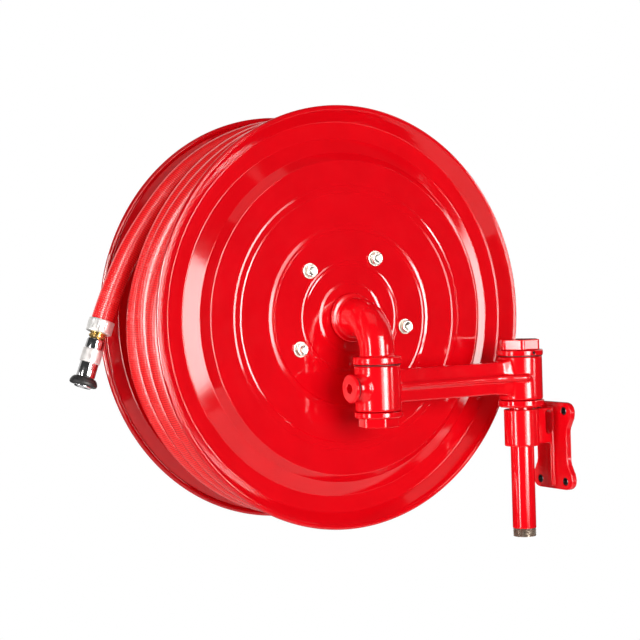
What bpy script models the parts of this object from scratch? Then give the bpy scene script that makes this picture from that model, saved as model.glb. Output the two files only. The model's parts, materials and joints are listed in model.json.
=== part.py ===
"""Wall-mounted fire hose reel on a double swing arm, at its real size.

Frame: metres, +Z up, +X into the wall, +Y from the front disc to the rear disc.
The origin is the centre of the wall plate's back face, where the bracket meets the wall.

The reel is held by one chain of pivots, and each has an empty on its axis:
wall bracket -> swing arm (vertical) -> elbow and hub spindle (vertical) -> drum (along Y)
-> nozzle sleeve (along the nozzle).
"""

import math

import bmesh
import bpy
from mathutils import Matrix, Vector

MM = 0.001

# Driving dimensions. The inlet is a 1 inch pipe; the disc and the arm are in proportion to it.
DISC_RADIUS = 295.0 * MM
DISC_SPACING = 177.3 * MM
SWIVEL_TO_RIM = 69.6 * MM
ARM_REACH = 245.0 * MM
WALL_TO_PIVOT = 63.0 * MM
REEL_AXIS_HEIGHT = 197.0 * MM
PIPE_RADIUS = 16.85 * MM
HOSE_RADIUS = 15.5 * MM

# Heights along both vertical pivots, in millimetres from the reel's axis.
BARREL_TOP = -64.6
BARREL_BOTTOM = -126.4
WATERWAY = -94.0
SLEEVE_TOP = -140.6
SLEEVE_BOTTOM = -193.0
PIPE_END = -323.0

# Round sections, in millimetres.
BARREL_RADIUS = 31.5
BARREL_BORE = 20.5
JOURNAL_RADIUS = 20.0
GROOVE_RADIUS = 17.3
COLLAR_RADIUS = 33.0
THREAD_RADIUS = 16.0
THREAD_CLEARANCE = 16.5
GAP = 0.3

# The drum, in millimetres: depth is measured back from the front rim's plane.
FIELD_DEPTH = -6.0
SHEET = 1.6
CORE_RADIUS = 131.7
CORE_SHEET = 1.5
BOLT_CIRCLE = 92.0
BOLT_ANGLES = (62, 134, 206, 278, 350)
BOLT_RADIUS = 5.0
HUB_HOLE = 26.0
TAIL_DEPTH = 144.8
TAIL_RADIUS = 272.6

BIG_STEPS = 40
STEPS = 24
SMALL_STEPS = 16

OBJECT_NAME = "fire_hose_reel"
RED = (0.62, 0.008, 0.012)
PARTS = bpy.data.collections.new(OBJECT_NAME)
CUTTERS = bpy.data.collections.new(OBJECT_NAME + "_cutters")


def clear_scene():
    for obj in list(bpy.data.objects):
        bpy.data.objects.remove(obj, do_unlink=True)
    for collection in (PARTS, CUTTERS):
        bpy.context.scene.collection.children.link(collection)


def finish_of(name, colour, roughness, metallic):
    """A Principled material of the piece's own."""
    material = bpy.data.materials.new(name + "_finish")
    material.use_nodes = True
    shader = material.node_tree.nodes["Principled BSDF"]
    shader.inputs["Base Color"].default_value = (*colour, 1.0)
    shader.inputs["Roughness"].default_value = roughness
    shader.inputs["Metallic"].default_value = metallic
    return material


FINISHES = {
    "enamel": (RED, 0.18, 0.0),
    "hose": ((0.55, 0.012, 0.018), 0.45, 0.0),
    "zinc": ((0.72, 0.70, 0.66), 0.3, 1.0),
    "chrome": ((0.85, 0.86, 0.88), 0.08, 1.0),
    "aluminium": ((0.78, 0.78, 0.78), 0.3, 1.0),
    "brass": ((0.75, 0.55, 0.22), 0.25, 1.0),
    "steel": ((0.45, 0.45, 0.46), 0.35, 1.0),
    "bronze": ((0.55, 0.36, 0.18), 0.4, 1.0),
    "rubber": ((0.02, 0.02, 0.02), 0.6, 0.0),
    "nylon": ((0.75, 0.74, 0.70), 0.5, 0.0),
}


def add(name, mesh, parent=None, location=(0, 0, 0), rotation=(0, 0, 0), finish="enamel"):
    """A part: its own object, with its own material, placed under its joint's empty."""
    obj = bpy.data.objects.new(name, mesh)
    PARTS.objects.link(obj)
    obj.parent = parent
    obj.location = [value * MM for value in location]
    obj.rotation_euler = [math.radians(value) for value in rotation]
    if not mesh.materials:
        mesh.materials.append(finish_of(name, *FINISHES[finish]))
    return obj


def helper(obj):
    """Turns a part into a cutter or a guide, which isn't part of the reel."""
    PARTS.objects.unlink(obj)
    CUTTERS.objects.link(obj)
    obj.hide_render = True
    obj.display_type = "WIRE"
    return obj


def boolean(obj, other, operation, solver):
    modifier = obj.modifiers.new(operation.title(), "BOOLEAN")
    modifier.operation = operation
    modifier.solver = solver
    modifier.object = other
    return obj


def cut(obj, *others, solver="EXACT"):
    for other in others:
        boolean(obj, helper(other), "DIFFERENCE", solver)
    return obj


def join(obj, *others, solver="EXACT"):
    for other in others:
        boolean(obj, helper(other), "UNION", solver)
    return obj


def bake(obj):
    """The object's evaluated mesh, for a piece whose copies share it."""
    bpy.context.view_layer.update()
    graph = bpy.context.evaluated_depsgraph_get()
    mesh = bpy.data.meshes.new_from_object(obj.evaluated_get(graph))
    obj.modifiers.clear()
    obj.data = mesh
    return mesh


def smooth_round(mesh):
    mesh.shade_smooth()
    mesh.set_sharp_from_angle(angle=math.radians(35))


def turned(name, profile, steps=STEPS, ring=True, **place):
    """A turned piece about its own Z. The profile is (radius, height) in mm, down its outer side."""
    mesh = bpy.data.meshes.new(name)
    corners = [(radius * MM, 0, height * MM) for radius, height in profile]
    edges = [(i, i + 1) for i in range(len(corners) - 1)]
    if ring:
        edges.append((len(corners) - 1, 0))
    mesh.from_pydata(corners, edges, [])
    obj = add(name, mesh, **place)
    screw = obj.modifiers.new("Screw", "SCREW")
    screw.axis = "Z"
    screw.steps = steps
    screw.render_steps = steps
    screw.use_merge_vertices = True
    screw.merge_threshold = 0.00001
    screw.use_smooth_shade = True
    return obj


def washer(name, inner, outer, top, bottom, steps=STEPS, **place):
    """A flat ring or a plain sleeve."""
    profile = [(outer, top), (outer, bottom), (inner, bottom), (inner, top)]
    return turned(name, profile, steps, **place)


def rod(name, radius, top, bottom, steps=STEPS, **place):
    """A plain solid cylinder."""
    profile = [(0, top), (radius, top), (radius, bottom), (0, bottom)]
    return turned(name, profile, steps, ring=False, **place)


def prism(name, across_corners, top, bottom, sides=6, turn=0.0, **place):
    """An upright prism with regular sides, such as a nut."""
    middle = Matrix.Translation((0, 0, (top + bottom) / 2 * MM))
    radius = across_corners / 2 * MM
    mesh = bpy.data.meshes.new(name)
    build = bmesh.new()
    bmesh.ops.create_cone(
        build, cap_ends=True, segments=sides, radius1=radius, radius2=radius, depth=(top - bottom) * MM,
        matrix=middle @ Matrix.Rotation(math.radians(turn), 4, "Z"),
    )
    build.to_mesh(mesh)
    build.free()
    return add(name, mesh, **place)


def block(name, low, high, **place):
    """A box between two corners, in mm."""
    mesh = bpy.data.meshes.new(name)
    build = bmesh.new()
    size = [(b - a) * MM for a, b in zip(low, high)]
    middle = [(a + b) / 2 * MM for a, b in zip(low, high)]
    placing = Matrix.Translation(middle) @ Matrix.Diagonal((*size, 1.0))
    bmesh.ops.create_cube(build, size=1.0, matrix=placing)
    build.to_mesh(mesh)
    build.free()
    return add(name, mesh, **place)


def tube(name, points, radii, resolution=2, **place):
    """A round tube along the points, in mm, as a mesh with welded caps."""
    curve = bpy.data.curves.new(name, "CURVE")
    curve.dimensions = "3D"
    curve.bevel_depth = 1.0
    curve.bevel_resolution = resolution
    curve.use_fill_caps = True
    spline = curve.splines.new("POLY")
    spline.points.add(len(points) - 1)
    for target, point, radius in zip(spline.points, points, radii):
        target.co = (*[value * MM for value in point], 1.0)
        target.radius = radius * MM
    guide = bpy.data.objects.new(name + "_guide", curve)
    PARTS.objects.link(guide)
    bpy.context.view_layer.update()
    graph = bpy.context.evaluated_depsgraph_get()
    mesh = bpy.data.meshes.new_from_object(guide.evaluated_get(graph))
    build = bmesh.new()
    build.from_mesh(mesh)
    bmesh.ops.remove_doubles(build, verts=build.verts, dist=0.00001)
    bmesh.ops.recalc_face_normals(build, faces=build.faces)
    build.to_mesh(mesh)
    build.free()
    bpy.data.objects.remove(guide, do_unlink=True)
    mesh.name = name
    smooth_round(mesh)
    return add(name, mesh, **place)


def empty(name, parent, location, rotation=(0, 0, 0)):
    """A joint's axis. Pieces that turn together hang under the same empty."""
    axis = bpy.data.objects.new(name, None)
    axis.empty_display_size = 0.05
    PARTS.objects.link(axis)
    axis.parent = parent
    axis.location = location
    axis.rotation_euler = [math.radians(value) for value in rotation]
    return axis


def arc(centre, radius, start, end, count):
    """Points along an arc in a plane, angles in degrees."""
    turns = [math.radians(start + (end - start) * i / (count - 1)) for i in range(count)]
    return [(centre[0] + radius * math.cos(t), centre[1] + radius * math.sin(t)) for t in turns]


def seal(name, height, **place):
    """A rubber ring in a journal's groove."""
    return washer(name, 17.7, 20.1, height + 1.5, height - 1.5, SMALL_STEPS, finish="rubber", **place)


def journal_steps(top, bottom):
    """The outer side of a journal with a seal groove above and below its port."""
    steps = [(JOURNAL_RADIUS, top)]
    for height in (WATERWAY + 20, WATERWAY - 20):
        steps += [(JOURNAL_RADIUS, height + 1.8), (GROOVE_RADIUS, height + 1.8)]
        steps += [(GROOVE_RADIUS, height - 1.8), (JOURNAL_RADIUS, height - 1.8)]
    return steps + [(JOURNAL_RADIUS, bottom)]


# ---------------------------------------------------------------- wall bracket


def plate_outline():
    """Half-way between a rectangle and a bone: four rounded lugs and a narrower waist."""
    quarter = arc((30, 49), 14, 90, 0, 5) + [(40, 34), (33, 22)]
    right = quarter + [(y, -z) for y, z in reversed(quarter)]
    return right + [(-y, -z) for y, z in right]


def wall_plate():
    curve = bpy.data.curves.new("wall_bracket", "CURVE")
    curve.dimensions = "2D"
    curve.fill_mode = "BOTH"
    curve.extrude = 4.5 * MM
    points = plate_outline()
    spline = curve.splines.new("POLY")
    spline.points.add(len(points) - 1)
    spline.use_cyclic_u = True
    for target, point in zip(spline.points, points):
        target.co = (point[0] * MM, point[1] * MM, 0, 1)
    guide = bpy.data.objects.new("plate_guide", curve)
    PARTS.objects.link(guide)
    bpy.context.view_layer.update()
    graph = bpy.context.evaluated_depsgraph_get()
    mesh = bpy.data.meshes.new_from_object(guide.evaluated_get(graph))
    build = bmesh.new()
    build.from_mesh(mesh)
    bmesh.ops.remove_doubles(build, verts=build.verts, dist=0.00001)
    stand = Matrix(((0, 0, 1, -4.5 * MM), (1, 0, 0, 0), (0, 1, 0, 0), (0, 0, 0, 1)))
    bmesh.ops.transform(build, matrix=stand, verts=build.verts)
    bmesh.ops.recalc_face_normals(build, faces=build.faces)
    build.to_mesh(mesh)
    build.free()
    bpy.data.objects.remove(guide, do_unlink=True)
    return add("wall_bracket", mesh)


def build_bracket(pivot):
    """The fixed pieces: the bracket, the inlet pipe and the spindle that the arm turns on."""
    base = REEL_AXIS_HEIGHT / MM
    axis_x = -WALL_TO_PIVOT / MM
    sleeve_place = dict(location=(axis_x, 0, base))
    plate = wall_plate()
    web_top = SLEEVE_TOP + base - 1
    web_bottom = SLEEVE_BOTTOM + base + 1
    join(
        plate,
        rod("bracket_sleeve", 25, SLEEVE_TOP, SLEEVE_BOTTOM, **sleeve_place),
        block("bracket_web", (axis_x + 10, -5, web_bottom), (-5, 5, web_top)),
        solver="MANIFOLD",
    )
    cut(
        plate,
        rod("sleeve_bore", 17.4, SLEEVE_TOP + 5, SLEEVE_BOTTOM - 5, **sleeve_place),
        block("web_slot", (-23, -8, web_top - 38), (-11, 8, web_top - 3)),
        solver="MANIFOLD",
    )
    for y in (-28, 28):
        for z in (-51, 51):
            hole = rod("plate_hole", 5.75, 12, -12, SMALL_STEPS, location=(0, y, z), rotation=(0, 90, 0))
            cut(plate, hole, solver="MANIFOLD")

    washer("inlet_pipe", 13.6, PIPE_RADIUS / MM, -118.3, PIPE_END, parent=pivot)

    profile = [(0, -46.3), (THREAD_RADIUS, -46.3), (THREAD_RADIUS, -62.9)]
    profile += journal_steps(-62.9, -127.0)
    profile += [(COLLAR_RADIUS, -127.0), (COLLAR_RADIUS, -137.0), (17.4, -137.0)]
    profile += [(17.4, -118.0), (12.0, -118.0), (12.0, -78.0), (0, -78.0)]
    spindle = turned("pivot_spindle", profile, ring=False, parent=pivot)
    cut(spindle, rod("pivot_port", 9, 30, -30, SMALL_STEPS, parent=pivot,
                     location=(0, 0, WATERWAY), rotation=(0, 90, 0)))

    seal("pivot_seal_upper", WATERWAY + 20, parent=pivot)
    seal("pivot_seal_lower", WATERWAY - 20, parent=pivot)
    washer("pivot_thrust_washer", 20.6, 32.5, -63.1, -64.3, parent=pivot, finish="nylon")
    collar = washer("pivot_collar", THREAD_CLEARANCE, COLLAR_RADIUS, -55.3, -62.8, parent=pivot)
    screw_place = dict(parent=pivot, location=(0, 0, -59.0), rotation=(90, 0, 0))
    cut(collar, rod("grub_hole", 2.8, 40, 10, 12, **screw_place))
    rod("pivot_grub_screw", 2.4, 31.5, 17.0, 12, finish="steel", **screw_place)
    cap = prism("pivot_cap", 61, -40.5, -55.0, turn=30, parent=pivot)
    cut(cap, rod("cap_bore", THREAD_CLEARANCE, -46.0, -60.0, parent=pivot))


# ------------------------------------------------------------------- swing arm


def beam(pivot):
    """The arm between its two barrels: a flat casting with a ridge along the middle of each side."""
    mesh = bpy.data.meshes.new("swing_arm")
    build = bmesh.new()
    reach = ARM_REACH / MM
    # Distance from the pivot, half-height and half-thickness at the ridge and at the edge.
    stations = [(-reach + 8, 22.5, 15, 9), (-40, 22.5, 15, 9), (-25, 29.2, 17, 13), (-8, 29.2, 17, 13)]
    loops = []
    for x, tall, ridge, edge in stations:
        outline = [(-edge, tall), (-ridge, 0), (-edge, -tall), (edge, -tall), (ridge, 0), (edge, tall)]
        corners = [Vector((x, y, z + WATERWAY)) * MM for y, z in outline]
        loops.append([build.verts.new(corner) for corner in corners])
    for near, far in zip(loops, loops[1:]):
        for i in range(6):
            build.faces.new((near[i], near[(i + 1) % 6], far[(i + 1) % 6], far[i]))
    build.faces.new(loops[0])
    build.faces.new(reversed(loops[-1]))
    bmesh.ops.triangulate(build, faces=build.faces)
    bmesh.ops.recalc_face_normals(build, faces=build.faces)
    build.to_mesh(mesh)
    build.free()
    return add("swing_arm", mesh, parent=pivot)


def build_arm(pivot):
    """The casting with a barrel at each end, and the plug that closes the drilling of its waterway."""
    reach = ARM_REACH / MM
    arm = beam(pivot)
    plug_place = dict(parent=pivot, location=(-reach, 0, WATERWAY), rotation=(0, -90, 0))
    boss = [(0, 38.0), (17, 38.0), (21, 27), (21, 20), (0, 20)]
    join(
        arm,
        rod("left_barrel", BARREL_RADIUS, BARREL_TOP, BARREL_BOTTOM, parent=pivot, location=(-reach, 0, 0)),
        rod("right_barrel", BARREL_RADIUS, BARREL_TOP, BARREL_BOTTOM, parent=pivot),
        turned("plug_boss", boss, ring=False, **plug_place),
        solver="MANIFOLD",
    )
    bore = [(0, -50), (BARREL_BORE, -50), (BARREL_BORE, -84), (24.5, -84), (24.5, -104)]
    bore += [(BARREL_BORE, -104), (BARREL_BORE, -140), (0, -140)]
    cut(
        arm,
        turned("left_bore", bore, ring=False, parent=pivot, location=(-reach, 0, 0)),
        turned("right_bore", bore, ring=False, parent=pivot),
        rod("arm_waterway", 10, 10 - 22, 10 - reach + 12, SMALL_STEPS, parent=pivot,
            location=(-10, 0, WATERWAY), rotation=(0, 90, 0)),
        rod("plug_bore", 10.4, 45, 15, SMALL_STEPS, **plug_place),
        solver="MANIFOLD",
    )
    washer("arm_plug_washer", 10.6, 17.5, 40.3, 38.3, 24, finish="rubber", **plug_place)
    shank = [(0, 45.5), (18.3, 45.5), (19.5, 44.3), (19.5, 40.6), (10, 40.6), (10, 25), (0, 25)]
    plug = turned("arm_plug", shank, ring=False, **plug_place)
    cut(plug, prism("plug_socket", 14.7, 50, 37, **plug_place))


# ----------------------------------------------------- elbow and hub spindle


def build_elbow(swivel):
    """The elbow that carries the reel and its water, with the spindle that the drum turns on."""
    rim = SWIVEL_TO_RIM / MM
    bend = 42.6
    quarter = [(0, bend + y, z - bend) for y, z in arc((0, 0), bend, 90, 180, 7)]
    route = [(0, rim - 15.0, 0)] + quarter + [(0, 0, -50)]
    widths = [26.5] + [26.5 - 0.5 * i for i in range(7)] + [23.5]
    elbow = tube("hub_elbow", route, widths, 5, parent=swivel)
    profile = [(0, -44), (22, -44), (22, -51.7), (COLLAR_RADIUS, -51.7), (COLLAR_RADIUS, -62.8)]
    profile += journal_steps(-62.8, -126.7)
    profile += [(THREAD_RADIUS, -126.7), (THREAD_RADIUS, -146.5), (0, -146.5)]
    facing_reel = dict(parent=swivel, location=(0, rim, 0), rotation=(90, 0, 0))
    join(
        elbow,
        turned("elbow_journal", profile, ring=False, parent=swivel),
        rod("elbow_flange", 34, 16.5, 8.2, **facing_reel),
    )
    water = [(0, rim - 5, 0)] + quarter + [(0, 0, -106)]
    cut(
        elbow,
        tube("elbow_waterway", water, [12.5] * len(water), 3, parent=swivel),
        rod("spindle_socket", 20.4, 40.3, 0, **facing_reel),
        rod("swivel_port", 9, 30, -30, SMALL_STEPS, parent=swivel, location=(0, 0, WATERWAY), rotation=(0, 90, 0)),
    )
    washer("swivel_thrust_washer", 20.6, 32.5, -63.1, -64.3, parent=swivel, finish="nylon")
    washer("swivel_collar", THREAD_CLEARANCE, COLLAR_RADIUS, -127.0, -135.0, parent=swivel)
    nut = prism("swivel_nut", 57, -135.3, -148.0, turn=45, parent=swivel)
    cut(nut, rod("nut_bore", THREAD_CLEARANCE, -130, -150, parent=swivel))
    seal("swivel_seal_upper", WATERWAY + 20, parent=swivel)
    seal("swivel_seal_lower", WATERWAY - 20, parent=swivel)

    # The spindle: hollow from the elbow to its port, with two seal grooves and a circlip groove.
    profile = [(0, -34.0), (12.5, -34.0), (12.5, 40.0), (JOURNAL_RADIUS, 40.0)]
    for depth in (6.5, 38.5):
        profile += [(JOURNAL_RADIUS, -depth + 1.8), (GROOVE_RADIUS, -depth + 1.8)]
        profile += [(GROOVE_RADIUS, -depth - 1.8), (JOURNAL_RADIUS, -depth - 1.8)]
    profile += [(JOURNAL_RADIUS, -184.4), (18.5, -184.4), (18.5, -186.2), (JOURNAL_RADIUS, -186.2)]
    profile += [(JOURNAL_RADIUS, -190.0), (0, -190.0)]
    spindle = turned("hub_spindle", profile, ring=False, finish="steel", **facing_reel)
    cut(spindle, rod("spindle_port", 9, 30, -30, SMALL_STEPS, parent=swivel,
                     location=(0, rim + 22.5, 0), rotation=(0, 90, 0)))
    place = dict(parent=swivel, rotation=(90, 0, 0), finish="rubber")
    washer("hub_seal_front", 17.7, 20.1, 1.5, -1.5, SMALL_STEPS, location=(0, rim + 6.5, 0), **place)
    washer("hub_seal_rear", 17.7, 20.1, 1.5, -1.5, SMALL_STEPS, location=(0, rim + 38.5, 0), **place)
    washer("spindle_washer", 20.5, 25.5, -182.2, -184.0, finish="steel", **facing_reel)
    clip = washer("spindle_circlip", 18.9, 23.0, -184.7, -185.9, finish="steel", **facing_reel)
    cut(clip, block("circlip_gap", (-3, -30, -190), (3, -10, -180), **facing_reel))


# ------------------------------------------------------------------------ drum


def disc_profile():
    """One pressed disc from hub hole to rolled rim, as (radius, height above the rim's plane)."""
    front = [(HUB_HOLE, 6), (218, 6), (231, -1.6), (250, -15), (272, -12), (286.8, -1.2)]
    bead = arc((291, 0), 4.0, 140, -140, 5)
    back = [(286.8, -1.2 - SHEET - 0.6)] + [(radius, height - SHEET) for radius, height in reversed(front[:-1])]
    return front + bead + back


def bolt_places():
    for number, angle in enumerate(BOLT_ANGLES, 1):
        turn = math.radians(angle)
        yield number, BOLT_CIRCLE * math.cos(turn), BOLT_CIRCLE * math.sin(turn)


def bolt_holes(name, top, bottom, drum):
    """All five bolt holes as one cutter."""
    mesh = bpy.data.meshes.new(name)
    build = bmesh.new()
    for _, x, y in bolt_places():
        bmesh.ops.create_cone(
            build, cap_ends=True, segments=12, radius1=(BOLT_RADIUS + 0.5) * MM,
            radius2=(BOLT_RADIUS + 0.5) * MM, depth=(top - bottom) * MM,
            matrix=Matrix.Translation((x * MM, y * MM, (top + bottom) / 2 * MM)),
        )
    build.to_mesh(mesh)
    build.free()
    return add(name, mesh, parent=drum)


def build_discs(drum):
    back = DISC_SPACING / MM
    front = turned("front_disc", disc_profile(), BIG_STEPS, parent=drum)
    cut(front, bolt_holes("front_disc_holes", 10, -2, drum))
    rear_place = dict(parent=drum, location=(0, 0, -back), rotation=(180, 0, 0))
    rear = turned("rear_disc", disc_profile(), BIG_STEPS, **rear_place)
    cut(rear, bolt_holes("rear_disc_holes", -back + 2, -back - 10, drum))
    core = washer("drum_core", CORE_RADIUS - CORE_SHEET, CORE_RADIUS, 4.0, -back - 4.0, BIG_STEPS, parent=drum)
    cut(core, rod("core_hole", 17.5, 170, 100, SMALL_STEPS, parent=drum,
                  location=(0, 8, -22.5), rotation=(0, 90, 0)))


def build_hub(drum):
    """The hub: a flanged body with a water chamber, its two bushes, and the pipe out to the hose."""
    back = DISC_SPACING / MM
    front_face = -FIELD_DEPTH - SHEET - GAP
    rear_face = -back - front_face
    profile = [(24, front_face), (112, front_face), (112, front_face - 8), (32, front_face - 8)]
    profile += [(32, rear_face + 8), (112, rear_face + 8), (112, rear_face), (24, rear_face)]
    profile += [(24, rear_face + 15), (20.5, rear_face + 15), (20.5, -34), (26, -34), (26, -11)]
    profile += [(20.5, -11), (20.5, -3.5), (24, -3.5)]
    hub = turned("hub_housing", profile, parent=drum)
    port = dict(parent=drum, location=(0, 0, -22.5), rotation=(0, 90, 0))
    join(hub, washer("outlet_boss", 11.4, 18, 46, 27, 24, **port))
    cut(
        hub,
        rod("outlet_hole", 11.4, 60, 20, 24, **port),
        bolt_holes("front_flange_holes", 8, -8, drum),
        bolt_holes("rear_flange_holes", -back + 8, -back - 8, drum),
    )
    washer("hub_bush_front", 20.4, 23.6, front_face, -3.2, 24, parent=drum, finish="bronze")
    washer("hub_bush_rear", 20.4, 23.6, rear_face + 14.7, rear_face, 24, parent=drum, finish="bronze")
    cap = [(0, -191), (28, -191), (31, -188.5), (31, -183.6), (34, -183.6), (34, -189.5)]
    cap += [(30, -193.5), (0, -193.5)]
    turned("hub_end_cap", cap, ring=False, parent=drum)

    bend = 30.4
    route = [(28, 0), (100, 0)] + arc((118, bend), bend, -90, 0, 6) + [(118 + bend, 52)]
    route = [(x, y, -22.5) for x, y in route]
    outlet = tube("hose_outlet", route, [11.0] * len(route), 3, parent=drum, finish="brass")
    bore = [(20, 0, -22.5)] + route[1:-1] + [(118 + bend, 60, -22.5)]
    cut(outlet, tube("outlet_bore", bore, [8.5] * len(bore), 2, parent=drum))
    washer("hose_clamp", 15.9, 17.4, 6, -6, 24, parent=drum, location=(118 + bend, 41, -22.5),
           rotation=(90, 0, 0), finish="zinc")


def bolt_mesh(length):
    """A hexagon bolt: underside of the head at zero, shank downwards."""
    head = prism("bolt_head", 18.5, 6.4, 0, finish="zinc")
    join(head, rod("bolt_shank", BOLT_RADIUS, 1, -length, 12, finish="zinc"))
    mesh = bake(head)
    bpy.data.objects.remove(head, do_unlink=True)
    return mesh


def build_fasteners(drum):
    """Five bolts and washers through each disc into the hub's flanges."""
    back = DISC_SPACING / MM
    face = -FIELD_DEPTH + GAP
    bolt = bolt_mesh(15)
    for side, height, turn in (("front", face, 0), ("rear", -back - face, 180)):
        for number, x, y in bolt_places():
            under_head = height + (1.9 if side == "front" else -1.9)
            place = dict(parent=drum, rotation=(turn, 0, 0), finish="zinc")
            add(f"{side}_bolt_{number}", bolt, location=(x, y, under_head), **place)
            washer(f"{side}_washer_{number}", 5.6, 11, 1.6, 0, 12, location=(x, y, height), **place)


# ----------------------------------------------------------- hose and nozzle


def smooth_route(points, spacing):
    """Evenly spaced points on a Catmull-Rom curve through the route's own points."""
    knots = [Vector(point) for point in points]
    knots = [2 * knots[0] - knots[1]] + knots + [2 * knots[-1] - knots[-2]]
    fine = []
    for a, b, c, d in zip(knots, knots[1:], knots[2:], knots[3:]):
        for step in range(20):
            t = step / 20
            fine.append(0.5 * (2 * b + (c - a) * t + (2 * a - 5 * b + 4 * c - d) * t**2
                               + (3 * b - a - 3 * c + d) * t**3))
    fine.append(knots[-2])
    length = sum((b - a).length for a, b in zip(fine, fine[1:]))
    count = round(length / spacing)
    even = [fine[0]]
    walked = 0.0
    for a, b in zip(fine, fine[1:]):
        walked += (b - a).length
        if walked >= len(even) * length / count and len(even) < count:
            even.append(b)
    return even + [fine[-1]]


# The free stretch of the hose, seen from the front and in mm from the reel's axis: it leaves the
# winding at the upper left and hangs down past the rim. The last point is inside the ferrule.
FREE_HOSE = [(-249, 123), (-267.5, 94), (-283, 63), (-296.5, 33.5), (-307.5, 6), (-310.0, -0.9)]
NOZZLE_START = Vector((-307.0, 7.4, -TAIL_DEPTH))
NOZZLE_DIRECTION = Vector((-0.344, -0.939, 0.0)).normalized()


def build_hose(drum):
    """The wound hose as one ring, stepped where its last strand lies, and that strand as a tube."""
    step_radius = TAIL_RADIUS - HOSE_RADIUS / MM - 1.6
    step_depth = TAIL_DEPTH - HOSE_RADIUS / MM - 0.7
    profile = [(132.3, -7), (222, -7), (257, -23), (287.6, -31), (287.6, -step_depth)]
    profile += [(step_radius, -step_depth), (step_radius, -159.5), (247, -159.5), (222, -170), (132.3, -170)]
    winding = turned("hose_winding", profile, BIG_STEPS, parent=drum, finish="hose")
    cut(winding, block("outlet_space", (120, -20, -42), (171, 62, 0), parent=drum))
    coiled = arc((0, 0), TAIL_RADIUS, 60, 145, 12)
    route = [(x, y, -TAIL_DEPTH) for x, y in coiled + FREE_HOSE]
    even = smooth_route(route, 32)
    tube("hose_tail", even, [HOSE_RADIUS / MM] * len(even), 2, parent=drum, finish="hose")


def build_nozzle(drum):
    """The ferrule and body fixed to the hose, and the sleeve that twists on the body."""
    turn = Vector((0, 0, -1)).rotation_difference(NOZZLE_DIRECTION).to_euler()
    fixed = empty("nozzle_axis", drum, NOZZLE_START * MM, [math.degrees(value) for value in turn])
    ferrule = [(18, 0), (18, -18), (12.2, -18), (12.2, -13), (16.0, -13), (16.0, 0)]
    turned("hose_ferrule", ferrule, 24, parent=fixed, finish="aluminium")
    body = [(5, -10.4), (11.8, -10.4), (11.8, -24), (9, -27), (9, -52), (6.8, -52), (6.8, -56), (9, -56)]
    body += [(9, -74), (5, -74)]
    turned("nozzle_body", body, 24, parent=fixed, finish="brass")

    twist = empty("nozzle_twist", fixed, (0, 0, 0))
    washer("nozzle_seal", 7.2, 9.2, -52.5, -55.5, 16, parent=twist, finish="rubber")
    sleeve = [(13, -27.5), (13, -41), (14, -42), (14, -60), (13, -61), (13, -81.5), (9.8, -81.5), (9.8, -27.5)]
    turned("nozzle_sleeve", sleeve, 24, parent=twist, finish="chrome")
    bumper = [(15, -81.8), (19.3, -84.5), (19.3, -90.5), (17.5, -92.8), (12.4, -92.8), (12.4, -81.8)]
    turned("nozzle_bumper", bumper, 24, parent=twist, finish="rubber")
    tip = [(4, -81.8), (12.0, -81.8), (12.0, -94.0), (10.5, -95.6), (6, -95.6), (4, -92)]
    turned("nozzle_tip", tip, 24, parent=twist, finish="chrome")


def main():
    clear_scene()
    pivot = empty("arm_pivot", None, (-WALL_TO_PIVOT, 0, REEL_AXIS_HEIGHT))
    build_bracket(pivot)
    arm = empty("arm_swing", None, (-WALL_TO_PIVOT, 0, REEL_AXIS_HEIGHT))
    build_arm(arm)
    swivel = empty("reel_swing", arm, (-ARM_REACH, 0, 0))
    build_elbow(swivel)
    drum = empty("drum_spin", swivel, (0, SWIVEL_TO_RIM, 0), (90, 0, 0))
    build_discs(drum)
    build_hub(drum)
    build_fasteners(drum)
    build_hose(drum)
    build_nozzle(drum)


main()
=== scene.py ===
"""Looks for the wall-mounted fire hose reel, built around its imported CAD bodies.

Row frame: metres, +Z up, +X into the wall, +Y from the front disc to the rear disc.
Outlines are in millimetres, about the axis of the joint that carries the piece.
"""

import json
import math

import bmesh
import bpy
from mathutils import Matrix, Vector, noise


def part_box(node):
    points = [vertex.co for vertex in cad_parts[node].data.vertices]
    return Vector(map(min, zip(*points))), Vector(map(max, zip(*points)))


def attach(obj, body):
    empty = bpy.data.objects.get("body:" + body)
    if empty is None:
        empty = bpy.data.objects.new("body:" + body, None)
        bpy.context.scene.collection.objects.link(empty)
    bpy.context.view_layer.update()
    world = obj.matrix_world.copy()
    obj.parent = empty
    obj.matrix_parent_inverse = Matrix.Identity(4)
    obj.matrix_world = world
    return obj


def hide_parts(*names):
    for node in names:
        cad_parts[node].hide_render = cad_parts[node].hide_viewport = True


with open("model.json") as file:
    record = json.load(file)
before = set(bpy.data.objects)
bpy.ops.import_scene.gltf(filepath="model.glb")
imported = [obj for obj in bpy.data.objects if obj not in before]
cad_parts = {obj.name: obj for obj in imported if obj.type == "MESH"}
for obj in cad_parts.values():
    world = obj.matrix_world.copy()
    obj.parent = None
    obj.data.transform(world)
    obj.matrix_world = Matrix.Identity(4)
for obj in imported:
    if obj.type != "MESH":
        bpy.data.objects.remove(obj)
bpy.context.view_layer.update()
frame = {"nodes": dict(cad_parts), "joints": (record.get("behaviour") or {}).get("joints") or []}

MM = 0.001
JOINTS = {joint["name"]: joint for joint in frame["joints"]}


def joint_place(name):
    return Vector(JOINTS[name]["pos_m"])


# Axes of the moving pieces. The drum's own Z points out of the front disc.
PIVOT = Matrix.Translation(joint_place("arm_swing"))
SWIVEL = Matrix.Translation(joint_place("reel_swing"))
DRUM = Matrix.Translation(joint_place("drum_spin")) @ Matrix.Rotation(math.pi / 2, 4, "X")
NOZZLE_TURN = Vector((0, 0, -1)).rotation_difference(Vector(JOINTS["nozzle_twist"]["axis"]))
NOZZLE = Matrix.Translation(joint_place("nozzle_twist")) @ NOZZLE_TURN.to_matrix().to_4x4()

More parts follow.
